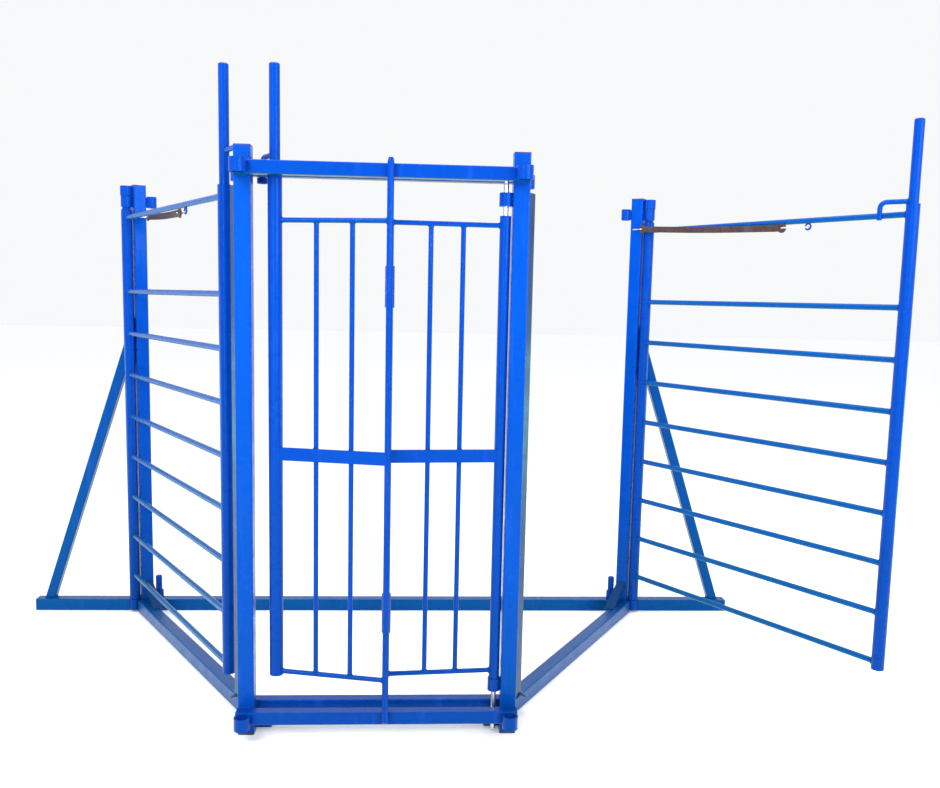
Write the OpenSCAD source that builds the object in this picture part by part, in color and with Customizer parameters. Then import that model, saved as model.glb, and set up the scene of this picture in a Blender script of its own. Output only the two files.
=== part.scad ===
// Holding pen front for cattle: a narrow front frame with a folding centre gate, two side gates hung on
// two back posts set wide apart, and a braced base. Millimetres, +Z up, +Y to the back of the pen. The
// origin is on the ground midway between the two front posts.

/* [Frame] */
// Distance between the centres of the two front posts
front_width = 820; // [760:10:900]
// Distance between the centres of the two back posts
back_width = 2088; // [1990:2:2180]
// Distance from the front posts back to the back posts
frame_depth = 1105; // [1060:5:1150]
// Height of all four posts
post_height = 1800; // [1798:1:1810]
// Width of the square post tube
post_size = 50; // [48:1:51]
// Width of the square beam tube
beam_size = 40; // [38:1:41]
// Underside of the two low beams above the ground
low_beam_z = 50; // [50:1:55]
// Reach of the ground beam beyond each back post's centre
outrigger_len = 460; // [440:10:520]
// Angle of the base rails and the back posts to the length of the pen
rail_angle = 33; // [32.6:0.1:33.4]

/* [Side gates] */
// Length of a side gate between the axes of its two stiles
gate_len = 1122; // [1112:1:1126]
// Angle of a closed side gate to the length of the pen
gate_closed = 32; // [31.7:0.1:32.3]
// Angle by which the right gate stands open
right_open = 64.8; // [0:0.1:110]
// Outer diameter of the gate stiles
stile_od = 42.4; // [42:0.1:42.6]
// Outer diameter of the gate rails
rail_od = 20; // [16:1:22]
// Height of the lowest rail
rail_low_z = 163; // [158:1:170]
// Distance between neighbouring rails
rail_pitch = 172; // [168:1:173]
// Height of the top rail
rail_top_z = 1667; // [1662:1:1668]

/* [Centre gate] */
// Distance from the middle of the front to the axis of the sliding stile
slide_x = 318; // [314:1:322]
// Distance from the middle of the front to the axis of the pivot rod
pivot_x = 365; // [364:1:365]
// How far the folding joint stands in front of the posts' centres
fold_out = 53; // [53:1:56]
// Height of the lower rods of the folding gate
fold_low_z = 200; // [197:1:206]
// Height of the upper rods of the folding gate
fold_top_z = 1587; // [1575:1:1590]
// Diameter of the upright and cross rods
fold_rod = 15; // [14:1:15]
// Height of the middle of the flat cross bar
fold_flat_z = 890; // [870:5:910]

/* [Handles] */
// Diameter of the latch handles
handle_d = 31.8; // [31.7:0.1:31.8]
// Length of a handle above its hook
handle_up = 258; // [220:1:280]
// Reach of a side gate's hook
hook_reach = 98; // [96:1:100]
// Drop of a hook from the middle of its arm to its tip
hook_drop = 58; // [56:1:58]
// Diameter of the hook rod
hook_d = 16; // [14:1:16]

/* [Hidden] */
$fn = 64;
wall = 4;
gap = 0.3;
blue = [0.0, 0.31, 0.86];
zinc = [0.78, 0.79, 0.80];
black = [0.09, 0.07, 0.07];
fx = front_width / 2;
bx = back_width / 2;
ph = post_size / 2;
bh = beam_size / 2;
front_y = -ph - bh;
rear_y = ph + bh;
top_beam_z = 1712;
rear_beam_z = 1716;
low_mid_z = low_beam_z + bh;
ground_box = 50;
cap_t = 3;
plug_t = 6;
// the back posts are turned: post_a points along the base rail to the front, post_b points out
post_a = [sin(rail_angle), -cos(rail_angle)];
post_b = [-cos(rail_angle), -sin(rail_angle)];
hinge_off = 49;
hinge_x = bx + hinge_off * cos(rail_angle);
hinge_y = frame_depth - hinge_off * sin(rail_angle);
rail_shift = 20;
stile_top = 1697;
stile_low = 57;
free_low = 140;
spigot_d = 33.7;
lug_id = 33.9;
lug_top = 1755;
lug_h = 45;
handle_id = 32;
lowered_arm = stile_top + 11;
left_raise = 93;
latch_angle = 160;
catch_od = 33.7;
catch_id = 26;
catch_top = 1742;
catch_h = 40;
catch_along = gate_len + hook_reach;
couple_x = bx - 54;
couple_od = 38;
couple_id = 27.5;
peg_d = 26.9;
peg_root_d = 25.9;
front_lug_od = 48.3;
front_lug_id = 36;
front_lug_y = front_y - bh - front_lug_od / 2 - 0.2;
rod_d = 16;
pivot_od = 33.7;
pivot_lug_od = 40;
pivot_low_z = 175;
pivot_top_z = 1615;
mid_x = (pivot_x - slide_x) / 2;
fold_half = (pivot_x + slide_x) / 2;
centre_d = 20;
knuckle_d = 28;
knuckle_h = 40;
pin_d = 12;
bar_off = (knuckle_d + centre_d) / 2 + 0.4;
front_bar = [mid_x, -fold_out - bar_off];
rear_bar = [mid_x, -fold_out + bar_off];
left_fracs = [0.365, 0.678];
right_fracs = [0.367, 0.65];
knuckle_zs = [1337, 345];
slide_top = 1735;
slide_low = 189;
centre_arm = 1776;
centre_catch = [-slide_x - 48, rear_y + bh + 11];
centre_reach = norm([centre_catch[0] + slide_x, centre_catch[1]]);
centre_angle = atan2(centre_catch[1], centre_catch[0] + slide_x);
eye_along = 750;
strap_z = [1671, 1645];
strap_w = 22;

// square outline with round corners, made of plain shapes so that it stays exact
module round_square(s, r) {
    square([s - 2 * r, s], center = true);
    square([s, s - 2 * r], center = true);
    for (i = [-1, 1], j = [-1, 1])
        translate([i * (s / 2 - r), j * (s / 2 - r)])
            circle(r);
}

// square tube standing on z = 0
module box_tube(s, h) {
    linear_extrude(h)
        difference() {
            round_square(s, 5);
            round_square(s - 2 * wall, 2);
        }
}

// square tube along +X from x0 to x1, centred on y and z
module beam_x(s, x0, x1, y, z) {
    translate([x0, y, z])
        rotate([90, 0, 90])
            box_tube(s, x1 - x0);
}

// round tube standing on z = 0
module pipe(od, id, h) {
    difference() {
        cylinder(d = od, h = h);
        translate([0, 0, -1])
            cylinder(d = id, h = h + 2);
    }
}

// turns +Z onto the line from p to q
module aim(p, q) {
    v = q - p;
    translate(p)
        rotate([0, acos(v[2] / norm(v)), atan2(v[1], v[0])])
            children();
}

module rod(p, q, d) {
    aim(p, q)
        cylinder(d = d, h = norm(q - p));
}

// flat bent wire hook through a list of points [x, y], with its middle at height z
module wire(pts, z, d) {
    translate([0, 0, z - d / 2])
        linear_extrude(d) {
            for (i = [0 : len(pts) - 2]) {
                v = pts[i + 1] - pts[i];
                translate(pts[i])
                    rotate(atan2(v[1], v[0]))
                        translate([0, -d / 2])
                            square([norm(v), d]);
            }
            for (p = pts)
                translate(p)
                    circle(d = d + 1);
        }
}

// the shapes below are drawn from the middle of the front; this puts the origin under the back beam
module place() {
    translate([0, -frame_depth, 0])
        children();
}

// side -1 is left, +1 is right: a copy mirrored to the other side of the middle
module on_side(side) {
    mirror([side > 0 ? 1 : 0, 0, 0])
        children();
}

// turned frame of the left back post: +X out from the post, +Y back along the base rail
module back_post_frame() {
    translate([-bx, frame_depth, 0])
        rotate([0, 0, 180 + rail_angle])
            mirror([0, 1, 0])
                children();
}

// side gate frame: origin on the hinge axis, +X towards the free stile, +Y to the inside of the pen
module gate_frame(side) {
    if (side < 0)
        translate([-hinge_x, hinge_y, 0])
            rotate([0, 0, gate_closed - 90])
                children();
    else
        translate([hinge_x, hinge_y, 0])
            rotate([0, 0, right_open - gate_closed - 90])
                mirror([0, 1, 0])
                    children();
}

module front_post(side) {
    translate([side * fx, 0, plug_t])
        box_tube(post_size, post_height - plug_t - cap_t);
}

module front_post_left() {
    color(blue) place() front_post(-1);
}

module front_post_right() {
    color(blue) place() front_post(1);
}

module back_post(side) {
    on_side(side)
        back_post_frame()
            box_tube(post_size, post_height - cap_t);
}

module back_post_left() {
    color(blue) place() back_post(-1);
}

module back_post_right() {
    color(blue) place() back_post(1);
}

module post_cap() {
    translate([0, 0, post_height - cap_t])
        linear_extrude(cap_t)
            round_square(post_size, 5);
}

module post_caps() {
    color(blue) place() {
        for (s = [-1, 1])
            translate([s * fx, 0, 0])
                post_cap();
        for (s = [-1, 1])
            on_side(s)
                back_post_frame()
                    post_cap();
    }
}

module foot_plugs() {
    color(black) place()
        for (s = [-1, 1])
            translate([s * fx, 0, 0])
                linear_extrude(plug_t)
                    round_square(post_size, 5);
}

module top_front_beam() {
    color(blue) place() beam_x(beam_size, -fx - ph, fx + ph, front_y, top_beam_z + bh);
}

module top_rear_beam() {
    color(blue) place() beam_x(beam_size, -fx - 11, fx + 11, rear_y, rear_beam_z + bh);
}

module bottom_front_beam() {
    color(blue) place() beam_x(beam_size, -fx - ph, fx + ph, front_y, low_mid_z);
}

module bottom_rear_sill() {
    color(blue) place() beam_x(beam_size, -fx - ph, fx + ph, rear_y, low_mid_z);
}

// base rail, cut off square at the back post and level with the front post's back face
module base_rail(side) {
    on_side(side)
        difference() {
            back_post_frame()
                translate([rail_shift, -ph - 0.2, ground_box / 2])
                    rotate([90, 0, 0])
                        box_tube(ground_box, 1400);
            translate([-2000, ph - 2000, -1])
                cube([4000, 2000, 60]);
        }
}

module base_rail_left() {
    color(blue) place() base_rail(-1);
}

module base_rail_right() {
    color(blue) place() base_rail(1);
}

module post_cutter() {
    back_post_frame()
        translate([0, 0, -1])
            linear_extrude(post_height)
                round_square(post_size + 0.2, 5.1);
}

module rail_cutter() {
    back_post_frame()
        translate([rail_shift - ground_box / 2 - 0.2, -ph - 90, -1])
            cube([ground_box + 0.4, 90, 60]);
}

module back_cross_beam() {
    color(blue) place()
        difference() {
            beam_x(ground_box, -bx, bx, frame_depth, ground_box / 2);
            for (s = [-1, 1])
                on_side(s) {
                    post_cutter();
                    rail_cutter();
                    translate([-bx - 100, frame_depth - 100, -1])
                        cube([100, 200, 60]);
                }
        }
}

module outrigger(side) {
    on_side(side)
        difference() {
            beam_x(ground_box, -bx - outrigger_len + cap_t, -bx, frame_depth, ground_box / 2);
            post_cutter();
            translate([-hinge_x, hinge_y, -1])
                cylinder(d = stile_od + 4, h = 60);
            back_post_frame()
                translate([0, -7.5, -1])
                    cube([hinge_off, 15, 60]);
            translate([-bx, frame_depth - 100, -1])
                cube([100, 200, 60]);
            rail_cutter();
        }
}

module outrigger_left() {
    color(blue) place() outrigger(-1);
}

module outrigger_right() {
    color(blue) place() outrigger(1);
}

module outrigger_caps() {
    color(blue) place()
        for (s = [-1, 1])
            on_side(s)
                translate([-bx - outrigger_len, frame_depth, ground_box / 2])
                    rotate([90, 0, 90])
                        linear_extrude(cap_t)
                            round_square(ground_box, 5);
}

// leaning brace from the top of the outrigger to the back of the back post
module brace(side) {
    foot = [-bx - 421, frame_depth + 16, ground_box - 40];
    head = [-bx + 1, frame_depth + 16, 1308];
    on_side(side)
        difference() {
            aim(foot, head)
                box_tube(beam_size, norm(head - foot));
            post_cutter();
            translate([-bx - 600, frame_depth - 200, -60])
                cube([600, 400, 60 + ground_box + 0.1]);
            translate([-bx - 10, frame_depth - 200, 900])
                cube([200, 400, 600]);
        }
}

module brace_left() {
    color(blue) place() brace(-1);
}

module brace_right() {
    color(blue) place() brace(1);
}

// sloping flat from a post's foot down to the top of the base rail, in a frame where +X runs along it
module gusset(run, rise, w) {
    len = norm([run, rise]);
    translate([0, 0, ground_box + rise])
        rotate([0, atan2(rise, run), 0])
            translate([0, -w / 2, 0])
                cube([len, w, 6]);
}

module rail_gussets() {
    color(blue) place()
        for (s = [-1, 1])
            on_side(s) {
                difference() {
                    back_post_frame()
                        translate([2, -ph + 3, 0])
                            rotate([0, 0, -90])
                                gusset(150, 78, 38);
                    post_cutter();
                    translate([-2000, 0, -1])
                        cube([2000, 2000, ground_box + 1.1]);
                }
                difference() {
                    translate([-fx + 4, ph - 3, 0])
                        rotate([0, 0, 90 + rail_angle])
                            gusset(130, 96, 34);
                    translate([-fx - 100, ph - 100, -1])
                        cube([200, 100.1, 400]);
                    translate([-fx - 100, 0, -1])
                        cube([200, rear_y + bh + 0.1, low_mid_z + bh + 1.1]);
                    translate([-2000, 0, -1])
                        cube([2000, 2000, ground_box + 1.1]);
                }
            }
}

// flats that run out and back from the front posts and close the gap beside a shut side gate
module closing_strips() {
    color(blue) place()
        for (s = [-1, 1])
            on_side(s)
                difference() {
                    translate([-fx - ph + 4, ph - 3, 100])
                        rotate([0, 0, 90 + gate_closed])
                            translate([0, -2.5, 0])
                                cube([54, 5, 1590]);
                    translate([-fx - 100, ph - 100, -1])
                        cube([200, 100.1, 2000]);
                    translate([-fx - ph + 12, 0, -1])
                        cube([60, 100, 400]);
                }
}

module front_coupling_lugs() {
    color(blue) place()
        for (s = [-1, 1], z = [low_beam_z, top_beam_z])
            translate([s * fx, front_lug_y, z])
                pipe(front_lug_od, front_lug_id, beam_size);
}

// short upright tube beside the left back post, with the web that joins it to the post
module post_lug(at, z, h, od, id) {
    translate([-bx - at[0], frame_depth + at[1], z])
        difference() {
            union() {
                cylinder(d = od, h = h);
                rotate([0, 0, atan2(-at[1], at[0])])
                    translate([0, -7, 2])
                        cube([norm(at), 14, h - 4]);
            }
            translate([0, 0, -1])
                cylinder(d = id, h = h + 2);
            translate([at[0], -at[1], -z])
                rotate([0, 0, rail_angle])
                    translate([0, 0, -1])
                        linear_extrude(post_height + 100)
                            round_square(post_size + 0.2, 5.1);
        }
}

module back_coupling_lugs() {
    color(blue) place()
        for (s = [-1, 1])
            on_side(s)
                post_lug([couple_x - bx, 0], lug_top - lug_h, lug_h, couple_od, couple_id);
}

module peg_collars() {
    color(blue) place()
        for (s = [-1, 1])
            on_side(s)
                post_lug([couple_x - bx, 0], ground_box + gap, 34, couple_od, peg_root_d + 0.1);
}

// pegs with a turned-down root that stands in the collar
module coupling_pegs() {
    root = peg_root_d / 2;
    color(blue) place()
        for (s = [-1, 1])
            translate([s * couple_x, frame_depth, ground_box])
                rotate_extrude()
                    polygon([
                        [0, 0], [root, 0], [root, 36], [peg_d / 2, 36],
                        [peg_d / 2, 96], [peg_d / 2 - 4, 100], [0, 100]
                    ]);
}

module side_hinge_lugs() {
    color(blue) place()
        for (s = [-1, 1], z = [10, lug_top - lug_h])
            on_side(s)
                post_lug([hinge_x - bx, hinge_y - frame_depth], z, lug_h, stile_od, lug_id);
}

module side_catches() {
    color(blue) place()
        for (s = [-1, 1])
            on_side(s)
                translate([
                    -hinge_x + catch_along * sin(gate_closed),
                    hinge_y - catch_along * cos(gate_closed),
                    catch_top - catch_h
                ])
                    pipe(catch_od, catch_id, catch_h);
}

module centre_catch_ring() {
    color(blue) place()
        translate([centre_catch[0], centre_catch[1], rear_beam_z - 16])
            pipe(catch_od, catch_id, 16);
}

module pivot_lugs() {
    color(blue) place()
        for (z = [pivot_low_z - 40, 1643])
            translate([pivot_x, 0, z])
                pipe(pivot_lug_od, rod_d + 0.2, 40);
}

module pivot_rod() {
    r = rod_d / 2;
    h = 1710;
    color(zinc) place()
        translate([pivot_x, 0, 6])
            rotate_extrude()
                polygon([[0, 0], [r - 1, 0], [r, 1], [r, h - 4], [r - 4, h], [0, h]]);
}

// zinc hooks that hold the rubber straps to the front faces of the back posts
module left_post_hook() {
    color(zinc) place()
        gate_frame(-1)
            wire([[28.6, 32], [28.6, 68], [42, 75.5], [72, 75.5], [72, 57]], strap_z[0], 5);
}

module right_post_hook() {
    color(zinc) place()
        translate([hinge_x, hinge_y, 0])
            rotate([0, 0, -57.2])
                mirror([0, 1, 0])
                    wire([[-43, 51.5], [-26, 48], [-12, 50], [0, 50], [0, 32]], strap_z[0], 5);
}

module hinge_stile(side) {
    gate_frame(side)
        translate([0, 0, stile_low])
            pipe(stile_od, lug_id, stile_top - stile_low);
}

module left_hinge_stile() {
    color(blue) place() hinge_stile(-1);
}

module right_hinge_stile() {
    color(blue) place() hinge_stile(1);
}

module free_stile(side) {
    gate_frame(side)
        translate([gate_len, 0, free_low])
            pipe(stile_od, handle_id, stile_top - free_low);
}

module left_free_stile() {
    color(blue) place() free_stile(-1);
}

module right_free_stile() {
    color(blue) place() free_stile(1);
}

// nine rails, coped round the two stiles
module gate_rails(side) {
    zs = concat([rail_top_z], [for (i = [0 : 7]) rail_low_z + i * rail_pitch]);
    gate_frame(side)
        difference() {
            for (z = zs)
                translate([0, 0, z])
                    rotate([0, 90, 0])
                        cylinder(d = rail_od, h = gate_len);
            for (x = [0, gate_len])
                translate([x, 0, 0])
                    cylinder(d = stile_od + 0.1, h = post_height);
        }
}

module left_gate_rails() {
    color(blue) place() gate_rails(-1);
}

module right_gate_rails() {
    color(blue) place() gate_rails(1);
}

// pins that turn in the hinge lugs: the upper one carries the cap
module hinge_spigots(side) {
    gate_frame(side) {
        translate([0, 0, stile_top - 90])
            cylinder(d = spigot_d, h = 1790 - stile_top + 90);
        translate([0, 0, 12])
            cylinder(d = spigot_d, h = 120);
    }
}

module left_hinge_spigots() {
    color(blue) place() hinge_spigots(-1);
}

module right_hinge_spigots() {
    color(blue) place() hinge_spigots(1);
}

module hinge_cap(side) {
    gate_frame(side)
        translate([0, 0, lug_top + 1])
            difference() {
                cylinder(d = 46, h = 38);
                translate([0, 0, -1])
                    cylinder(d = lug_id, h = 35.2);
            }
}

module left_hinge_cap() {
    color(blue) place() hinge_cap(-1);
}

module right_hinge_cap() {
    color(blue) place() hinge_cap(1);
}

// small ring under the top rail
module strap_eye(side) {
    gate_frame(side)
        difference() {
            translate([eye_along, 0, rail_top_z - rail_od / 2 - 11])
                rotate([90, 0, 0])
                    rotate_extrude()
                        translate([10.5, 0])
                            circle(d = 6);
            translate([eye_along - 30, 0, rail_top_z])
                rotate([0, 90, 0])
                    cylinder(d = rail_od + 0.1, h = 60);
        }
}

module left_strap_eye() {
    color(blue) place() strap_eye(-1);
}

module right_strap_eye() {
    color(blue) place() strap_eye(1);
}

// rubber strap: ends are points [along, inward, z] in the gate frame
function strap_ends(side) = side < 0
    ? [[72, 66, strap_z[0]], [650, 12, strap_z[1]]]
    : [[0, 41, strap_z[0]], [650, 10, strap_z[1]]];

module strap(side) {
    ends = strap_ends(side);
    p = ends[0];
    q = ends[1];
    len = norm(q - p);
    gate_frame(side)
        translate(p)
            rotate([0, 0, atan2(q[1] - p[1], q[0] - p[0])])
                rotate([90, asin((p[2] - q[2]) / len), 0])
                    translate([0, 0, -3.5])
                        linear_extrude(7)
                            difference() {
                                union() {
                                    translate([0, -strap_w / 2])
                                        square([len, strap_w]);
                                    circle(d = 28);
                                    translate([len, 0])
                                        circle(d = 28);
                                }
                                circle(d = 9);
                                translate([len, 0])
                                    circle(d = 9);
                            }
}

module left_strap() {
    color(black) place() strap(-1);
}

module right_strap() {
    color(black) place() strap(1);
}

// zinc hook from the strap's end to the ring under the top rail
module gate_hook(side) {
    gate_frame(side)
        wire([[650, 2], [650, 20], [672, 19], [738, 9], [752, 7], [752, -9]], strap_z[1], 5);
}

module left_gate_hook() {
    color(zinc) place() gate_hook(-1);
}

module right_gate_hook() {
    color(zinc) place() gate_hook(1);
}

// latch handle with its welded J hook: origin at the middle of the hook's arm, hook towards +X
module handle(reach, below) {
    bend = 20;
    r = handle_d / 2;
    difference() {
        translate([0, 0, -below])
            rotate_extrude()
                polygon([[0, 0], [r, 0], [r, below + handle_up - 3], [r - 3, below + handle_up],
                    [0, below + handle_up]]);
        translate([0, 0, -below - 1])
            cylinder(d = handle_d - 7, h = below + handle_up - 3);
    }
    difference() {
        rotate([0, 90, 0])
            cylinder(d = hook_d, h = reach - bend);
        translate([0, 0, -20])
            cylinder(r = r - 1, h = 40);
    }
    translate([reach - bend, 0, -bend])
        rotate([90, 0, 0])
            rotate_extrude(angle = 90)
                translate([bend, 0])
                    circle(d = hook_d);
    translate([reach, 0, -hook_drop])
        cylinder(d = hook_d, h = hook_drop - bend);
}

module side_handle(side, turn, lift) {
    gate_frame(side)
        translate([gate_len, 0, lowered_arm + lift])
            rotate([0, 0, turn])
                handle(hook_reach, 300);
}

module left_handle() {
    color(blue) place() side_handle(-1, 0, left_raise);
}

module right_handle() {
    color(blue) place() side_handle(1, latch_angle, 0);
}

module washer() {
    pipe(stile_od, handle_id, 2);
}

module left_handle_washer() {
    color(blue) place()
        gate_frame(-1)
            translate([gate_len, 0, stile_top + gap])
                washer();
}

module right_handle_washer() {
    color(blue) place()
        gate_frame(1)
            translate([gate_len, 0, stile_top + gap])
                washer();
}

module centre_handle_washer() {
    color(blue) place()
        translate([-slide_x, 0, slide_top + gap])
            washer();
}

module centre_handle() {
    color(blue) place()
        translate([-slide_x, 0, centre_arm])
            rotate([0, 0, centre_angle])
                handle(centre_reach, 260);
}

// tube on the pivot rod, closed down to the rod at its two ends
module fold_pivot_stile() {
    h = pivot_top_z - pivot_low_z - gap;
    color(blue) place()
        translate([pivot_x, 0, pivot_low_z + gap])
            difference() {
                pipe(pivot_od, rod_d + 0.2, h);
                translate([0, 0, 40])
                    cylinder(d = pivot_od - 8, h = h - 80);
            }
}

// cross rods, uprights and flat bar of one half of the folding gate, from the stile to the centre bar
module grille(stile, od, bar, fracs) {
    run = norm(bar - stile);
    dir = atan2(bar[1] - stile[1], bar[0] - stile[0]);
    side = bar[0] > stile[0] ? -1 : 1;
    difference() {
        translate([stile[0], stile[1], 0])
            rotate([0, 0, dir]) {
                for (z = [fold_low_z, fold_top_z])
                    translate([0, 0, z])
                        rotate([0, 90, 0])
                            cylinder(d = fold_rod, h = run);
                for (f = fracs)
                    translate([f * run, 0, fold_low_z])
                        cylinder(d = fold_rod, h = fold_top_z - fold_low_z);
                translate([0, side * (fold_rod / 2 + 2) - 3, fold_flat_z - 20])
                    cube([run, 6, 40]);
            }
        translate([stile[0], stile[1], 0])
            cylinder(d = od + 0.1, h = post_height);
        translate([bar[0], bar[1], 0])
            cylinder(d = centre_d + 0.1, h = post_height);
    }
}

module fold_right_grille() {
    color(blue) place() grille([pivot_x, 0], pivot_od, rear_bar, right_fracs);
}

module fold_left_grille() {
    color(blue) place() grille([-slide_x, 0], stile_od, front_bar, left_fracs);
}

module fold_slide_stile() {
    color(blue) place()
        translate([-slide_x, 0, slide_low])
            pipe(stile_od, handle_id, slide_top - slide_low);
}

module knuckle(z) {
    translate([mid_x, -fold_out, z])
        pipe(knuckle_d, pin_d + 0.2, knuckle_h);
}

// centre bar of the left half: it runs past both front beams and stops the gate against them
module front_centre_bar() {
    r = centre_d / 2;
    color(blue) place() {
        translate([front_bar[0], front_bar[1], 62])
            rotate_extrude()
                polygon([[0, 0], [r - 4, 0], [r, 5], [r, 1692], [r - 3, 1704], [0, 1704]]);
        for (z = knuckle_zs, i = [0, 2])
            intersection() {
                knuckle(z + i * (knuckle_h + 0.7));
                translate([mid_x - 40, -fold_out - 40, 0])
                    cube([80, 80, 1800]);
            }
        for (z = knuckle_zs, i = [0, 2])
            translate([mid_x - 4, front_bar[1] + r - 1, z + i * (knuckle_h + 0.7) + 2])
                cube([8, 3, knuckle_h - 4]);
    }
}

module rear_centre_bar() {
    r = centre_d / 2;
    color(blue) place() {
        translate([rear_bar[0], rear_bar[1], fold_low_z - 8])
            cylinder(r = r, h = fold_top_z - fold_low_z + 16);
        for (z = knuckle_zs) {
            knuckle(z + knuckle_h + 0.7);
            translate([mid_x - 4, rear_bar[1] - r - 2, z + knuckle_h + 2.7])
                cube([8, 3, knuckle_h - 4]);
        }
    }
}

module fold_hinge_pins() {
    color(zinc) place()
        for (z = knuckle_zs)
            translate([mid_x, -fold_out, z - 2])
                cylinder(d = pin_d, h = 3 * knuckle_h + 5.4);
}

front_post_left();
front_post_right();
back_post_left();
back_post_right();
post_caps();
foot_plugs();
top_front_beam();
top_rear_beam();
bottom_front_beam();
bottom_rear_sill();
base_rail_left();
base_rail_right();
back_cross_beam();
outrigger_left();
outrigger_right();
outrigger_caps();
brace_left();
brace_right();
rail_gussets();
closing_strips();
front_coupling_lugs();
back_coupling_lugs();
peg_collars();
coupling_pegs();
side_hinge_lugs();
side_catches();
centre_catch_ring();
pivot_lugs();
pivot_rod();
left_post_hook();
right_post_hook();
left_hinge_stile();
left_free_stile();
left_gate_rails();
left_hinge_spigots();
left_hinge_cap();
left_strap_eye();
left_gate_hook();
left_strap();
left_handle_washer();
left_handle();
right_hinge_stile();
right_free_stile();
right_gate_rails();
right_hinge_spigots();
right_hinge_cap();
right_strap_eye();
right_gate_hook();
right_strap();
right_handle_washer();
right_handle();
fold_pivot_stile();
fold_right_grille();
rear_centre_bar();
fold_slide_stile();
fold_left_grille();
front_centre_bar();
fold_hinge_pins();
centre_handle_washer();
centre_handle();
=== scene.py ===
import bpy
import bmesh
import math
import random
from mathutils import Matrix, Vector


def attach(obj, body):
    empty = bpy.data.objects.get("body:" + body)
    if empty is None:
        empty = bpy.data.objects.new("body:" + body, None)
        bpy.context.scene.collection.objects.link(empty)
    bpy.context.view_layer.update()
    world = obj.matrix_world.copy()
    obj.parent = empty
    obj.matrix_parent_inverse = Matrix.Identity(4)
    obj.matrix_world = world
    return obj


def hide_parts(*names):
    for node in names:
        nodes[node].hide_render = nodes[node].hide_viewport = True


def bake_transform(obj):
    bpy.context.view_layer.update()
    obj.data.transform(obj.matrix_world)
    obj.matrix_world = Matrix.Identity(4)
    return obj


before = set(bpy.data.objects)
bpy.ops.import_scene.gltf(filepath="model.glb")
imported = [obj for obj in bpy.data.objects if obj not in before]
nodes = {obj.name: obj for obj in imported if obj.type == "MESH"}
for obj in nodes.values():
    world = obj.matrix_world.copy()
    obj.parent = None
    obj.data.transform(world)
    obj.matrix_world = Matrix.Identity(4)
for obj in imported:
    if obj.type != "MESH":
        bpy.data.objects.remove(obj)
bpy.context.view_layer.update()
scene = bpy.context.scene

# ---------------------------------------------------------------- sizes, in metres, as in the CAD
DEPTH = 1.105
FX, BX = 0.410, 1.044
HINGE = 0.049
RAIL_A, GATE_A, OPEN_A = math.radians(33), math.radians(32), math.radians(64.8)
HX = BX + HINGE * math.cos(RAIL_A)
HY = -HINGE * math.sin(RAIL_A)
GATE_L = 1.122
STILE_R, RAIL_R = 0.0212, 0.010
RAIL_Z = [1.667] + [0.163 + 0.172 * i for i in range(8)]
POST, BEAM = 0.050, 0.040
FRONT_Y = -DEPTH - 0.045
HANDLE_R, ARM_R = 0.0159, 0.008
TOP_Z, TOP_REAR_Z, BOTTOM_Z = 1.712, 1.716, 0.050
CATCH_REACH = 1.220
UP = Vector((0, 0, 1))


# ---------------------------------------------------------------- camera
def set_camera():
    """Camera on the viewer's side of the pen, turned a little to the right and down; lens in millimetres."""
    yaw, pitch, roll = 0.0558, 0.1156, 0.0206
    eye = (0.09317, -2.68734 - DEPTH, 1.37274)
    fwd = Vector((math.sin(yaw) * math.cos(pitch), math.cos(yaw) * math.cos(pitch), -math.sin(pitch)))
    right = Vector((math.cos(yaw), -math.sin(yaw), 0))
    up = right.cross(fwd)
    right2 = right * math.cos(roll) + up * math.sin(roll)
    up2 = up * math.cos(roll) - right * math.sin(roll)
    cam = bpy.data.cameras.new("camera")
    cam.sensor_fit = "HORIZONTAL"
    cam.sensor_width = 36
    cam.lens = 33.97270
    cam.shift_x = 0.0093723
    cam.shift_y = 0.0063085
    cam.clip_start, cam.clip_end = 0.05, 60
    o = bpy.data.objects.new("camera", cam)
    m = Matrix.Identity(4)
    for i in range(3):
        m[i][0], m[i][1], m[i][2] = right2[i], up2[i], -fwd[i]
    m[0][3], m[1][3], m[2][3] = eye
    o.matrix_world = m
    scene.collection.objects.link(o)
    scene.camera = o


set_camera()


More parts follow.
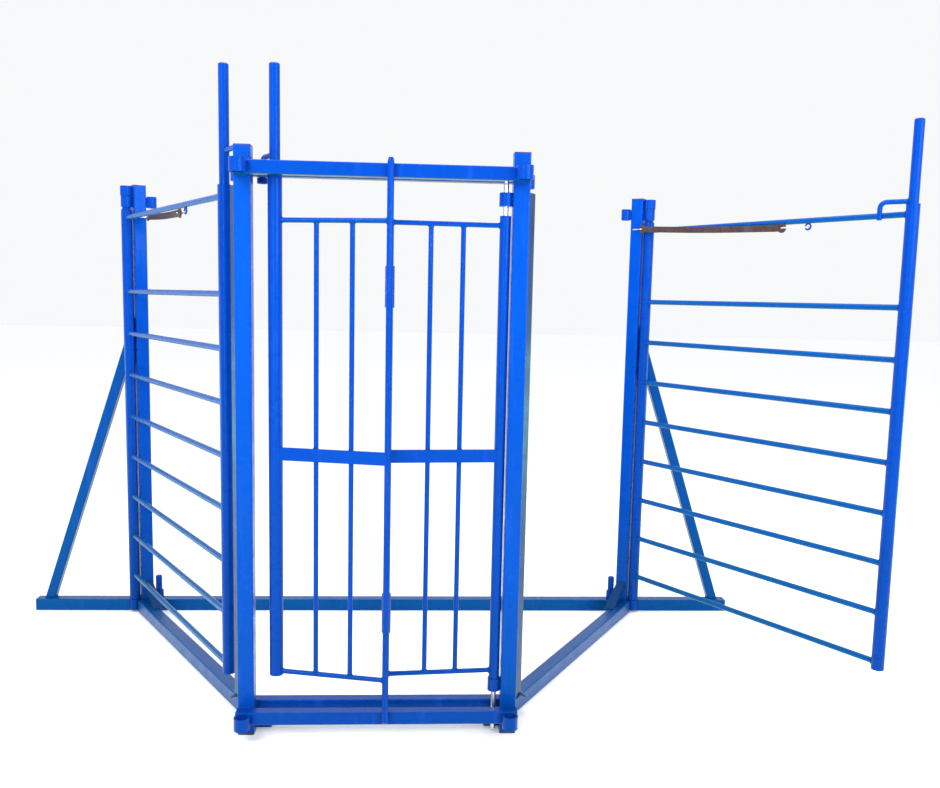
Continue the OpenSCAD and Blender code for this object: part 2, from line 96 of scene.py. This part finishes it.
# ---------------------------------------------------------------- materials
class Mat:
    """A principled material with short names for the nodes that the looks below are built from."""

    def __init__(self, name):
        self.m = bpy.data.materials.new(name)
        self.m.use_nodes = True
        self.t = self.m.node_tree
        self.b = self.t.nodes["Principled BSDF"]
        self.coord = self.n("ShaderNodeTexCoord").outputs["Object"]

    def n(self, kind, **values):
        node = self.t.nodes.new(kind)
        for k, v in values.items():
            setattr(node, k, v)
        return node

    def link(self, a, b):
        self.t.links.new(a, b)

    def noise(self, scale, detail=3.0, rough=0.55, stretch=None):
        node = self.n("ShaderNodeTexNoise")
        node.inputs["Scale"].default_value = scale
        node.inputs["Detail"].default_value = detail
        node.inputs["Roughness"].default_value = rough
        if stretch:
            m = self.n("ShaderNodeMapping")
            m.inputs["Scale"].default_value = stretch
            self.link(self.coord, m.inputs["Vector"])
            self.link(m.outputs["Vector"], node.inputs["Vector"])
        else:
            self.link(self.coord, node.inputs["Vector"])
        return node.outputs["Fac"]

    def ramp(self, fac, a, b, lo=0.0, hi=1.0):
        node = self.n("ShaderNodeMapRange")
        node.inputs["From Min"].default_value = a
        node.inputs["From Max"].default_value = b
        node.inputs["To Min"].default_value = lo
        node.inputs["To Max"].default_value = hi
        self.link(fac, node.inputs["Value"])
        return node.outputs["Result"]

    def mix(self, fac, a, b):
        node = self.n("ShaderNodeMix", data_type="RGBA")
        for socket, v in ((0, fac), (6, a), (7, b)):
            if isinstance(v, (int, float)):
                node.inputs[socket].default_value = v
            elif isinstance(v, (tuple, list)):
                node.inputs[socket].default_value = (*v, 1)
            else:
                self.link(v, node.inputs[socket])
        return node.outputs[2]

    def math(self, op, a, b=0.0):
        node = self.n("ShaderNodeMath", operation=op)
        for i, v in enumerate((a, b)):
            if isinstance(v, (int, float)):
                node.inputs[i].default_value = v
            else:
                self.link(v, node.inputs[i])
        return node.outputs[0]

    def bump(self, *layers):
        last = None
        for height, strength, distance in layers:
            node = self.n("ShaderNodeBump")
            node.inputs["Strength"].default_value = strength
            node.inputs["Distance"].default_value = distance
            self.link(height, node.inputs["Height"])
            if last:
                self.link(last, node.inputs["Normal"])
            last = node.outputs["Normal"]
        self.link(last, self.b.inputs["Normal"])


def paint(name, base, low, underside_shade, grain=1.0):
    """Sprayed enamel over tube: slow colour drift, painted shade that darkens it towards the ground, and a
    painted teal shade on faces turned down.
    """
    m = Mat(name)
    xyz = m.n("ShaderNodeSeparateXYZ")
    m.link(m.coord, xyz.inputs[0])
    # painted shade: the colour runs from base at the top to the darker low colour near the ground
    height = m.ramp(xyz.outputs["Z"], 1.75, 0.05)
    height = m.math("POWER", height, 1.3)
    drift = m.ramp(m.noise(2.3, 2), 0.3, 0.7, -0.14, 0.14)
    colour = m.mix(m.math("ADD", m.math("MULTIPLY", height, 0.85), drift), base, low)
    # painted teal shade on faces turned down, mixed in by the surface normal
    geo = m.n("ShaderNodeNewGeometry")
    nrm = m.n("ShaderNodeSeparateXYZ")
    m.link(geo.outputs["Normal"], nrm.inputs[0])
    down_face_shade = m.ramp(nrm.outputs["Z"], -0.1, -0.95)
    colour = m.mix(m.math("MULTIPLY", down_face_shade, 0.75), colour, underside_shade)
    runs = m.ramp(m.noise(34, 4, 0.6, (1, 1, 0.12)), 0.58, 0.74)
    pale = tuple(min(1, c * 1.5 + 0.02) for c in base)
    colour = m.mix(m.math("MULTIPLY", runs, 0.22), colour, pale)
    specks = m.ramp(m.noise(620, 1), 0.70, 0.76)
    colour = m.mix(m.math("MULTIPLY", specks, 0.35), colour, tuple(c * 0.45 for c in low))
    m.link(colour, m.b.inputs["Base Color"])
    rough = m.ramp(m.noise(21, 4), 0.25, 0.75, 0.20, 0.40)
    m.link(m.math("ADD", rough, m.math("MULTIPLY", specks, 0.2)), m.b.inputs["Roughness"])
    m.b.inputs["Specular IOR Level"].default_value = 0.35
    m.b.inputs["Specular Tint"].default_value = (0.03, 0.40, 1.0, 1.0)
    m.b.inputs["Coat Weight"].default_value = 0.06
    m.b.inputs["Coat Roughness"].default_value = 0.07
    m.bump(
        (m.noise(160, 2), 0.10 * grain, 0.0012),
        (m.noise(26, 3, 0.5, (1, 1, 0.25)), 0.16 * grain, 0.003),
        (specks, 0.25 * grain, 0.0005),
    )
    return m.m


def zinc_material(name):
    m = Mat(name)
    colour = m.mix(m.ramp(m.noise(45, 4), 0.3, 0.7), (0.60, 0.62, 0.64), (0.86, 0.87, 0.88))
    dull = m.ramp(m.noise(9, 3), 0.55, 0.75)
    colour = m.mix(m.math("MULTIPLY", dull, 0.4), colour, (0.48, 0.50, 0.50))
    m.link(colour, m.b.inputs["Base Color"])
    m.link(m.ramp(m.noise(70, 3, 0.6, (1, 1, 0.05)), 0.3, 0.7, 0.22, 0.42), m.b.inputs["Roughness"])
    m.b.inputs["Metallic"].default_value = 1.0
    m.bump((m.noise(420, 2, 0.5, (1, 1, 0.04)), 0.25, 0.0005), (m.noise(60, 3), 0.12, 0.0008))
    return m.m


def rubber_material(name):
    m = Mat(name)
    colour = m.mix(m.ramp(m.noise(60, 4), 0.35, 0.7), (0.030, 0.010, 0.012), (0.060, 0.022, 0.024))
    bloom = m.ramp(m.noise(14, 3), 0.52, 0.72)
    colour = m.mix(m.math("MULTIPLY", bloom, 0.35), colour, (0.11, 0.075, 0.075))
    m.link(colour, m.b.inputs["Base Color"])
    m.link(m.ramp(m.noise(90, 3), 0.3, 0.7, 0.34, 0.58), m.b.inputs["Roughness"])
    m.bump((m.noise(900, 2), 0.3, 0.0003), (m.noise(120, 3), 0.2, 0.0008))
    return m.m


def foot_material(name):
    m = Mat(name)
    colour = m.mix(m.ramp(m.noise(120, 4), 0.35, 0.7), (0.010, 0.009, 0.018), (0.035, 0.03, 0.045))
    m.link(colour, m.b.inputs["Base Color"])
    m.link(m.ramp(m.noise(60, 3), 0.3, 0.7, 0.5, 0.8), m.b.inputs["Roughness"])
    m.bump((m.noise(500, 2), 0.4, 0.0004))
    return m.m


def cap_material(name):
    m = Mat(name)
    colour = m.mix(m.ramp(m.noise(55, 4), 0.4, 0.66), (0.012, 0.012, 0.16), (0.10, 0.012, 0.05))
    m.link(colour, m.b.inputs["Base Color"])
    m.link(m.ramp(m.noise(60, 3), 0.3, 0.7, 0.35, 0.6), m.b.inputs["Roughness"])
    m.bump((m.noise(300, 2), 0.4, 0.0005))
    return m.m


# teal colour painted on down-turned faces as shade
UNDERSIDE_SHADE = (0.0003, 0.075, 0.10)
# the second colour of each paint is its darker painted shade near the ground
post_paint = paint("paint_posts", (0.0003, 0.055, 0.43), (0.0003, 0.038, 0.215), UNDERSIDE_SHADE)
tube_paint = paint("paint_tubes", (0.0003, 0.042, 0.36), (0.0003, 0.028, 0.18), UNDERSIDE_SHADE)
# the rails' third colour is their own painted teal shade for down-turned faces
rail_paint = paint("paint_rails", (0.0003, 0.062, 0.33), (0.0003, 0.062, 0.17), (0.0003, 0.10, 0.12))
base_paint = paint("paint_base", (0.0003, 0.050, 0.27), (0.0003, 0.048, 0.18), UNDERSIDE_SHADE)
# the closing strips get a much darker copy of the blue enamel: painted shade for the shaded gaps between
# stiles and front posts
strip_shade_paint = paint("paint_strips_shaded", (0.0003, 0.028, 0.11), (0.0003, 0.028, 0.06), UNDERSIDE_SHADE)
gusset_paint = paint("paint_gussets", (0.0006, 0.03, 0.16), (0.0004, 0.022, 0.08), UNDERSIDE_SHADE)
weld_paint = paint("paint_welds", (0.0003, 0.042, 0.34), (0.0003, 0.030, 0.17), UNDERSIDE_SHADE, grain=2.2)
zinc = zinc_material("zinc_plate")
rubber = rubber_material("strap_rubber")
foot = foot_material("foot_plug")
cap_top = cap_material("cap_paint")

LOOK = {
    "front_post_left": post_paint, "front_post_right": post_paint,
    "back_post_left": post_paint, "back_post_right": post_paint,
    "left_gate_rails": rail_paint, "right_gate_rails": rail_paint,
    "base_rail_left": base_paint, "base_rail_right": base_paint, "back_cross_beam": base_paint,
    "outrigger_left": base_paint, "outrigger_right": base_paint, "outrigger_caps": base_paint,
    "brace_left": base_paint, "brace_right": base_paint,
    "closing_strips": strip_shade_paint, "rail_gussets": gusset_paint,
    "post_caps": cap_top, "foot_plugs": foot,
    "pivot_rod": zinc, "fold_hinge_pins": zinc,
}
for name, o in nodes.items():
    material = LOOK.get(name, tube_paint)
    if not o.data.materials:
        o.data.materials.append(material)
    for i in range(len(o.data.materials)):
        o.data.materials[i] = material


# ---------------------------------------------------------------- mesh helpers
def new_object(name, bm, material, body=None):
    mesh = bpy.data.meshes.new(name)
    bm.to_mesh(mesh)
    bm.free()
    for p in mesh.polygons:
        p.use_smooth = True
    mesh.materials.append(material)
    o = bpy.data.objects.new(name, mesh)
    scene.collection.objects.link(o)
    if body:
        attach(o, body)
    return o


def circle(centre, normal, radius, count):
    """Points evenly round a circle."""
    side = normal.orthogonal().normalized()
    other = normal.cross(side)
    turn = math.tau / count
    return [centre + (side * math.cos(k * turn) + other * math.sin(k * turn)) * radius for k in range(count)]


def sweep(bm, pts, radius, sides=8, closed=False, vary=None):
    """Round tube along a list of points; vary(i) scales the radius, which makes the ripples of a bead."""
    n = len(pts)
    rings = []
    side = None
    for i, p in enumerate(pts):
        a = pts[i - 1] if (i or closed) else p
        b = pts[(i + 1) % n] if (i < n - 1 or closed) else p
        along = (b - a).normalized()
        if side is None:
            side = along.orthogonal().normalized()
        side = (side - along * side.dot(along)).normalized()
        other = along.cross(side)
        r = radius * (vary(i) if vary else 1)
        turns = [k * math.tau / sides for k in range(sides)]
        rings.append([bm.verts.new(p + (side * math.cos(t) + other * math.sin(t)) * r) for t in turns])
    for i in range(n if closed else n - 1):
        a, b = rings[i], rings[(i + 1) % n]
        shift = 0
        if closed and i == n - 1:
            shift = min(range(sides), key=lambda s: (a[0].co - b[s].co).length)
        for k in range(sides):
            bm.faces.new((a[k], a[(k + 1) % sides], b[(k + 1 + shift) % sides], b[(k + shift) % sides]))
    if not closed:
        bm.faces.new(list(reversed(rings[0])))
        bm.faces.new(rings[-1])


def smooth_path(pts, steps=7):
    """Catmull-Rom curve through the points."""
    out = []
    for i in range(len(pts) - 1):
        p0 = pts[max(i - 1, 0)]
        p1, p2 = pts[i], pts[i + 1]
        p3 = pts[min(i + 2, len(pts) - 1)]
        for k in range(steps):
            t = k / steps
            out.append(
                ((p1 * 2) + (p2 - p0) * t + (p0 * 2 - p1 * 5 + p2 * 4 - p3) * t * t
                 + (p1 * 3 - p0 - p2 * 3 + p3) * t ** 3) * 0.5
            )
    out.append(pts[-1])
    return out


rng = random.Random(7)


def ripple(i):
    """Scale of a bead's radius at its point i: the scales of a weld laid by hand."""
    return 0.86 + 0.16 * abs(math.sin(i * 1.15)) + rng.uniform(-0.05, 0.05)


def saddle(bm, origin, run, up, stile_r, rod_r, bead=0.0023):
    """Weld bead round a rod of radius rod_r that leaves a round stile of radius stile_r along run."""
    across = up.cross(run).normalized()
    pts = []
    count = max(28, int(rod_r * 2600))
    for k in range(count):
        a = k * math.tau / count
        side, high = math.cos(a) * rod_r, math.sin(a) * rod_r
        out = math.sqrt(max(stile_r ** 2 - side ** 2, (stile_r * 0.25) ** 2))
        pts.append(origin + run * (out + bead * 0.45) + across * side * 1.05 + up * high * 1.05)
    sweep(bm, pts, bead, 8, True, ripple)


def line_bead(bm, a, b, bead=0.0024):
    """Straight weld bead from a to b."""
    length = (b - a).length
    count = max(6, int(length / 0.0016))
    pts = []
    for k in range(count + 1):
        p = a.lerp(b, k / count)
        pts.append(p + Vector([rng.uniform(-1, 1) * bead * 0.10 for _ in range(3)]))
    sweep(bm, pts, bead, 8, False, ripple)


def spatter(bm, centre, spread, count):
    """Small round drops of spatter round a weld; centre(u, v) gives a point on the surface."""
    for _ in range(count):
        p = centre(rng.uniform(0, 1), rng.uniform(-1, 1) * spread)
        r = rng.uniform(0.0005, 0.0012)
        bmesh.ops.create_icosphere(bm, subdivisions=1, radius=r, matrix=Matrix.Translation(p))


def rot2(v, a):
    return Vector((v[0] * math.cos(a) - v[1] * math.sin(a), v[0] * math.sin(a) + v[1] * math.cos(a), 0))


def gate_frame(side):
    """Origin, direction to the free stile and direction to the inside of the pen, of a side gate at rest."""
    if side < 0:
        a = GATE_A - math.pi / 2
        return Vector((-HX, HY, 0)), rot2((1, 0), a), rot2((0, 1), a)
    a = OPEN_A - GATE_A - math.pi / 2
    return Vector((HX, HY, 0)), rot2((1, 0), a), rot2((0, -1), a)


# ---------------------------------------------------------------- welds of the side gates
def gate_welds(side, body):
    o, x, y = gate_frame(side)
    bm = bmesh.new()
    for z in RAIL_Z:
        saddle(bm, o + UP * z, x, UP, STILE_R, RAIL_R)
        saddle(bm, o + x * GATE_L + UP * z, -x, UP, STILE_R, RAIL_R)
        for end, d in ((o, x), (o + x * GATE_L, -x)):
            base = end + UP * z

            def on_stile(u, v, base=base, d=d):
                a = (u - 0.5) * 2.4
                r = STILE_R + 0.0001
                return base + (d * math.cos(a) + d.cross(UP) * math.sin(a)) * r + UP * v

            def on_rail(u, v, base=base, d=d):
                a = u * math.tau
                return (base + d * (STILE_R + 0.006 + abs(v)) + UP * math.sin(a) * RAIL_R
                        + d.cross(UP) * math.cos(a) * RAIL_R)

            spatter(bm, on_stile, 0.030, 9)
            spatter(bm, on_rail, 0.030, 6)
    new_object(body + "_welds", bm, weld_paint, body)


gate_welds(-1, "left_gate")
gate_welds(1, "right_gate")

# ---------------------------------------------------------------- welds of the folding gate
SLIDE_X, PIVOT_X, FOLD_OUT = 0.318, 0.365, 0.053
MID_X = (PIVOT_X - SLIDE_X) / 2
BAR_OFF = 0.0244
FRONT_BAR = Vector((MID_X, -DEPTH - FOLD_OUT - BAR_OFF, 0))
REAR_BAR = Vector((MID_X, -DEPTH - FOLD_OUT + BAR_OFF, 0))
ROD_LOW_Z, ROD_TOP_Z, FLAT_Z = 0.200, 1.587, 0.890
ROD_R, BAR_R, PIVOT_STILE_R = 0.0075, 0.010, 0.01685


def panel_welds(stile, stile_r, bar, fracs, body):
    """Welds of one half of the folding gate, with its upright rods at fracs of the way from stile to bar."""
    bm = bmesh.new()
    run = (bar - stile).normalized()
    length = (bar - stile).length
    for z in (ROD_LOW_Z, ROD_TOP_Z):
        saddle(bm, stile + UP * z, run, UP, stile_r, ROD_R, 0.0020)
        saddle(bm, bar + UP * z, -run, UP, BAR_R, ROD_R, 0.0020)
        for f in fracs:
            at = stile + run * length * f + UP * z
            saddle(bm, at, -UP if z > 1 else UP, run, ROD_R, ROD_R, 0.0018)
    side = run.cross(UP) if run.cross(UP).y < 0 else -run.cross(UP)
    face = side * (ROD_R + 0.002)
    for f in fracs:
        at = stile + run * length * f
        for dz in (-0.0205, 0.0205):
            for s in (-1, 1):
                a = at + UP * (FLAT_Z + dz) + run * s * 0.0045 + side * (ROD_R - 0.0035)
                line_bead(bm, a - run * s * 0.003, a + run * s * 0.003, 0.0018)
    for end, d, r in ((stile, run, stile_r), (bar, -run, BAR_R)):
        for s in (-0.5, 0.6):
            a = end + d * (r + 0.0004) + face * (0.9 + 0.25 * s) + UP * (FLAT_Z - 0.0195)
            line_bead(bm, a, a + UP * 0.039, 0.0020)
    new_object(body + "_welds", bm, weld_paint, body)


panel_welds(Vector((-SLIDE_X, -DEPTH, 0)), STILE_R, FRONT_BAR, (0.365, 0.678), "centre_left_panel")
panel_welds(Vector((PIVOT_X, -DEPTH, 0)), PIVOT_STILE_R, REAR_BAR, (0.367, 0.65), "centre_right_panel")


# ---------------------------------------------------------------- welds of the fixed frame
def beam_welds(bm, s):
    """Beads of the beams on a front post, and of the coupling lugs on the front beams."""
    half = POST / 2
    front, rear = -DEPTH - half - 0.0006, -DEPTH + half + 0.0006
    for z0, rear_z in ((TOP_Z, TOP_REAR_Z), (BOTTOM_Z, BOTTOM_Z)):
        for z in (z0 + 0.001, z0 + BEAM - 0.001):
            line_bead(bm, Vector((s * (FX - 0.021), front, z)), Vector((s * (FX + 0.021), front, z)))
        for z in (rear_z + 0.001, rear_z + BEAM - 0.001):
            line_bead(bm, Vector((s * (FX - 0.021), rear, z)), Vector((s * (FX + 0.009), rear, z)))
        for dx in (-0.0085, 0.0085):
            low = Vector((s * FX + dx, FRONT_Y - BEAM / 2 - 0.0009, z0 + 0.003))
            line_bead(bm, low, low + UP * 0.034, 0.0026)


def lug_welds(bm, post, out, along, s):
    """Upright beads of the hinge lugs, coupling lugs and peg collars on a back post."""
    for z0, h in ((TOP_Z, 0.041), (0.012, 0.041)):
        for t in (-0.0078, 0.0078):
            p = post + out * (POST / 2 + 0.001) + along * t + UP * z0
            line_bead(bm, p, p + UP * h, 0.0024)
    inward = Vector((-s, 0, 0))
    for z0, h in ((TOP_Z, 0.041), (0.053, 0.028)):
        for t in (-0.0078, 0.0078):
            p = post + inward * 0.0312 + Vector((0, t, 0)) + UP * z0
            line_bead(bm, p, p + UP * h, 0.0024)


def foot_welds(bm, post, out, along, s):
    """Beads of the base rail, gusset, outrigger and brace at the foot of a back post."""
    face = post + along * (POST / 2 + 0.0012) - out * 0.020
    for t in (-0.018, 0.018):
        p = face + out * t + UP * 0.008
        line_bead(bm, p, p + UP * 0.036, 0.0024)
    rail_top = face + UP * 0.0505
    line_bead(bm, rail_top - out * 0.018, rail_top + out * 0.018, 0.0026)
    gusset_top = post + along * (POST / 2 + 0.0015) + UP * 0.128
    line_bead(bm, gusset_top - out * 0.018, gusset_top + out * 0.014, 0.0026)
    gusset_foot = post + along * 0.172 + UP * 0.0512
    line_bead(bm, gusset_foot - out * 0.020, gusset_foot + out * 0.014, 0.0026)
    p = Vector((s * (BX + 0.029), -0.0255, 0.046))
    line_bead(bm, p, p + Vector((0, 0.050, 0)), 0.0022)
    brace_foot = Vector((s * (BX + 0.408), -0.004, 0.0512))
    for dx in (-0.021, 0.021):
        low, high = Vector((s * dx, 0.002, 0)), Vector((s * dx, 0.036, 0))
        line_bead(bm, brace_foot + low, brace_foot + high, 0.0024)


def strip_welds(bm, s):
    """Stitch beads down the closing strip, and beads between it and the side catch."""
    x, y = s * (FX + POST / 2 + 0.0012), -DEPTH + POST / 2 - 0.002
    for k in range(9):
        low = Vector((x, y, 0.12 + k * 0.19))
        line_bead(bm, low, low + UP * 0.035, 0.0020)
    catch = Vector((s * (HX - CATCH_REACH * math.sin(GATE_A)), HY - CATCH_REACH * math.cos(GATE_A), 0))
    for dy in (-0.006, 0.006):
        low = catch + Vector((-s * 0.0168, dy, 1.718))
        line_bead(bm, low, low + UP * 0.023, 0.0022)
    low = catch + Vector((s * -0.004, -0.0172, 1.706))
    line_bead(bm, low, low + UP * 0.032, 0.0026)


def frame_welds():
    bm = bmesh.new()
    for s in (-1, 1):
        post = Vector((s * BX, 0, 0))
        along = Vector((-s * math.sin(RAIL_A), -math.cos(RAIL_A), 0))
        out = Vector((s * math.cos(RAIL_A), -math.sin(RAIL_A), 0))
        beam_welds(bm, s)
        lug_welds(bm, post, out, along, s)
        foot_welds(bm, post, out, along, s)
        strip_welds(bm, s)
    for z in (0.139, 1.647):
        for dy in (-0.007, 0.007):
            p = Vector((0.3846, -DEPTH + dy, z))
            line_bead(bm, p, p + UP * 0.032, 0.0022)
    new_object("frame_welds", bm, weld_paint, "frame")


frame_welds()


# ---------------------------------------------------------------- rubber straps and zinc hooks
STRAP_Z = (1.671, 1.645)
BULB_R, BAND_R, EYELET_R = 0.0162, 0.0112, 0.0042
SHOULDER, NECK = 0.058, 0.031


def bulb(x, way):
    """Arc of 280 degrees round (x, 0) that bulges towards way, from its upper end to its lower end."""
    steps = 16
    turns = [math.radians(140) - math.radians(280) * k / steps for k in range(steps + 1)]
    return [(x + way * BULB_R * math.cos(t), BULB_R * math.sin(t)) for t in turns]


def strap_outline(length):
    """Flat closed mesh of the strap, from (0, 0) to (length, 0), with a hole at both."""
    def loop(pts):
        spline = curve.splines.new("POLY")
        spline.points.add(len(pts) - 1)
        for i, v in enumerate(pts):
            spline.points[i].co = (v[0], v[1], 0, 1)
        spline.use_cyclic_u = True

    curve = bpy.data.curves.new("strap_outline", "CURVE")
    curve.dimensions = "2D"
    curve.fill_mode = "BOTH"
    curve.extrude = 0.0023
    curve.bevel_depth = 0.0009
    curve.bevel_resolution = 2
    neck_r = BAND_R * 1.05
    edge = [(length - NECK, neck_r), (length - SHOULDER, BAND_R), (SHOULDER, BAND_R), (NECK, neck_r)]
    loop(bulb(length, 1)[::-1] + edge + bulb(0.0, -1) + [(x, -y) for x, y in edge[::-1]])
    for c in (0.0, length):
        turns = [k * math.tau / 20 for k in range(20)]
        loop([(c + EYELET_R * math.cos(t), EYELET_R * math.sin(t)) for t in turns])
    tmp = bpy.data.objects.new("strap_outline", curve)
    scene.collection.objects.link(tmp)
    bpy.context.view_layer.update()
    mesh = bpy.data.meshes.new_from_object(tmp.evaluated_get(bpy.context.evaluated_depsgraph_get()))
    bpy.data.objects.remove(tmp)
    return mesh


def strap_mesh(name, p, q):
    """Moulded strap with a rim along both edges, a bulb and an eyelet at each end, from p to q."""
    length = (q - p).length
    run = (q - p).normalized()
    side = UP.cross(run).normalized()
    high = run.cross(side)
    bm = bmesh.new()
    bm.from_mesh(strap_outline(length))
    bmesh.ops.remove_doubles(bm, verts=bm.verts, dist=1e-6)
    count = 36
    cuts = [((length * k / count, 0, 0), (1, 0, 0)) for k in range(1, count)]
    cuts += [((0, y, 0), (0, 1, 0)) for y in (-0.0070, 0.0, 0.0070)]
    for at, normal in cuts:
        geom = bm.verts[:] + bm.edges[:] + bm.faces[:]
        bmesh.ops.bisect_plane(bm, geom=geom, plane_co=at, plane_no=normal)
    for v in bm.verts:
        x, y, z = v.co
        along = min(1, max(0, (x - 0.045) / 0.02)) * min(1, max(0, (length - 0.045 - x) / 0.02))
        if abs(y) < 0.0080:
            z *= 1 - 0.28 * along
        sag = -0.004 * math.sin(math.pi * min(1, max(0, x / length)))
        v.co = p + run * x + high * (y + sag) + side * z
    o = new_object(name, bm, rubber)
    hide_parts(name.replace("_band", ""))
    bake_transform(o)


def make_wire(name, node, pts, body, r=0.0025):
    """Round wire hook with domed ends along a curve through the points."""
    bm = bmesh.new()
    sweep(bm, smooth_path(pts, 8), r, 12)
    for end in (pts[0], pts[-1]):
        dome = Matrix.Translation(end)
        bmesh.ops.create_uvsphere(bm, u_segments=12, v_segments=8, radius=r * 0.98, matrix=dome)
    o = new_object(name, bm, zinc, body)
    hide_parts(node)


def eye_ring(name, node, at, across, run, body):
    """Ring under a gate's top rail that the strap hook is clipped to, with its two beads."""
    bm = bmesh.new()
    sweep(bm, circle(at(750, 0, 1.646), across, 0.0105, 40), 0.0030, 12, True)
    c = at(750, 0, 1.6585)
    for s in (-1, 1):
        line_bead(bm, c + across * 0.003 * s - run * 0.004, c + across * 0.003 * s + run * 0.004, 0.0021)
    eye = new_object(name, bm, tube_paint, body)
    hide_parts(node)


def strap_and_hooks(side, word):
    """Strap, wire hooks and eye ring of one side gate; at() takes millimetres in the gate's own frame."""
    o, x, y = gate_frame(side)
    body = word + "_gate"

    def at(u, v, z):
        return o + x * u / 1000 + y * v / 1000 + UP * z

    post_end, gate_end = ((72, 66), (650, 12)) if side < 0 else ((0, 41), (650, 10))
    post_z, gate_z = STRAP_Z
    strap_mesh(word + "_strap_band", at(*post_end, post_z), at(*gate_end, gate_z))
    gate_wire = [
        (650, 2, 0.001), (650, 12, 0), (654, 19, 0), (672, 19, 0), (706, 13, -0.001),
        (738, 9, -0.001), (750, 5, -0.0025), (752, -2, -0.003), (749, -9, 0),
    ]
    if side < 0:
        post_wire = [(28.6, 32), (28.6, 50), (30, 67), (38, 74), (52, 76.5), (67, 75.5), (72.5, 68), (72, 57)]
    else:
        post_wire = [(-43, 51.5), (-33, 49), (-24, 48), (-12, 50), (-3, 50), (0.5, 43), (0, 33)]
    gate_pts = [at(u, v, gate_z + dz) for u, v, dz in gate_wire]
    post_pts = [at(u, v, post_z) for u, v in post_wire]
    make_wire(word + "_gate_hook_wire", word + "_gate_hook", gate_pts, body)
    make_wire(word + "_post_hook_wire", word + "_post_hook", post_pts, "frame")
    eye_ring(word + "_eye_ring", word + "_strap_eye", at, y, x, body)


SIDES = ((-1, "left"), (1, "right"))
for side, word in SIDES:
    strap_and_hooks(side, word)


# ---------------------------------------------------------------- weld rings on the handles and hinges
def ring_bead(bm, centre, normal, radius, bead):
    count = max(30, int(radius * math.tau / 0.0017))
    sweep(bm, circle(centre, normal, radius, count), bead, 8, True, ripple)


def handle_weld(name, arm_root, run, body):
    """Bead round the bent arm where it leaves the upright of a handle."""
    bm = bmesh.new()
    saddle(bm, arm_root, run, UP, HANDLE_R, ARM_R, 0.0022)
    new_object(name, bm, weld_paint, body)


for (side, word), turn, arm_z in zip(SIDES, (0, 160), (1.801, 1.708)):
    o, x, y = gate_frame(side)
    t = math.radians(turn)
    run = x * math.cos(t) + y * math.sin(t)
    handle_weld(word + "_handle_weld", o + x * GATE_L + UP * arm_z, run, word + "_latch")
stile_top = Vector((-SLIDE_X, -DEPTH, 1.776))
catch_ring = Vector((-SLIDE_X - 0.048, -DEPTH + 0.076, 0))
to_ring = Vector((catch_ring.x - stile_top.x, catch_ring.y - stile_top.y, 0)).normalized()
handle_weld("centre_handle_weld", stile_top, to_ring, "centre_latch")

# beads that close the hinge stiles, in the neck under each upper lug
for side, word in SIDES:
    o, x, y = gate_frame(side)
    bm = bmesh.new()
    ring_bead(bm, o + UP * 1.6985, UP, 0.0180, 0.0024)
    ring_bead(bm, o + UP * 0.0562, UP, 0.0178, 0.0009)
    new_object(word + "_neck_weld", bm, weld_paint, word + "_gate")


# ---------------------------------------------------------------- floor and light
def plain(name, colour, rough):
    """Matt, even ground with a faint glow, so that it stays as pale as the surroundings."""
    m = Mat(name)
    c = m.mix(m.ramp(m.noise(0.8, 2), 0.2, 0.8), tuple(v * 0.985 for v in colour), colour)
    m.link(c, m.b.inputs["Base Color"])
    m.b.inputs["Roughness"].default_value = rough
    m.b.inputs["Specular IOR Level"].default_value = 0.2
    m.b.inputs["Emission Color"].default_value = (*colour, 1)
    m.b.inputs["Emission Strength"].default_value = 0.10
    return m.m


bm = bmesh.new()
bmesh.ops.create_grid(bm, x_segments=2, y_segments=2, size=30)
floor = new_object("floor", bm, plain("floor_pale", (0.94, 0.94, 0.945), 0.75))
floor.location.z = -0.0006

scene.view_settings.view_transform = "Standard"
scene.view_settings.look = "None"
world = bpy.data.worlds.new("world")
scene.world = world
world.use_nodes = True
bg = world.node_tree.nodes["Background"]
bg.inputs["Color"].default_value = (0.985, 0.992, 1.0, 1)
bg.inputs["Strength"].default_value = 0.95


def area(name, pos, target, size, power, colour=(1, 1, 1)):
    """Rectangular lamp at pos, aimed at target."""
    light = bpy.data.lights.new(name, "AREA")
    light.shape = "RECTANGLE"
    light.size, light.size_y = size
    light.energy = power
    light.color = colour
    o = bpy.data.objects.new(name, light)
    o.location = pos
    o.rotation_euler = (Vector(target) - Vector(pos)).to_track_quat("-Z", "Y").to_euler()
    scene.collection.objects.link(o)


area("key", (-2.6, -4.6, 4.2), (0, -0.6, 0.9), (2.4, 1.6), 190)
area("fill", (3.4, -4.2, 2.6), (0.3, -0.6, 0.8), (2.0, 2.0), 90)
area("top", (0, -0.6, 5.0), (0, -0.6, 0), (3.0, 3.0), 110)
area("strip_left", (-1.6, -5.2, 1.5), (0, -0.8, 1.0), (0.2, 2.4), 40)
area("strip_right", (2.0, -5.2, 1.5), (0.3, -0.8, 1.0), (0.2, 2.4), 40)
TEAL_GLOW = (0.35, 1.0, 0.85)
area("low_left", (-4.2, 0.4, 0.5), (0, -0.5, 0.7), (2.4, 1.0), 26, TEAL_GLOW)
area("low_right", (4.2, 0.4, 0.5), (0, -0.5, 0.7), (2.4, 1.0), 26, TEAL_GLOW)

bpy.context.view_layer.update()
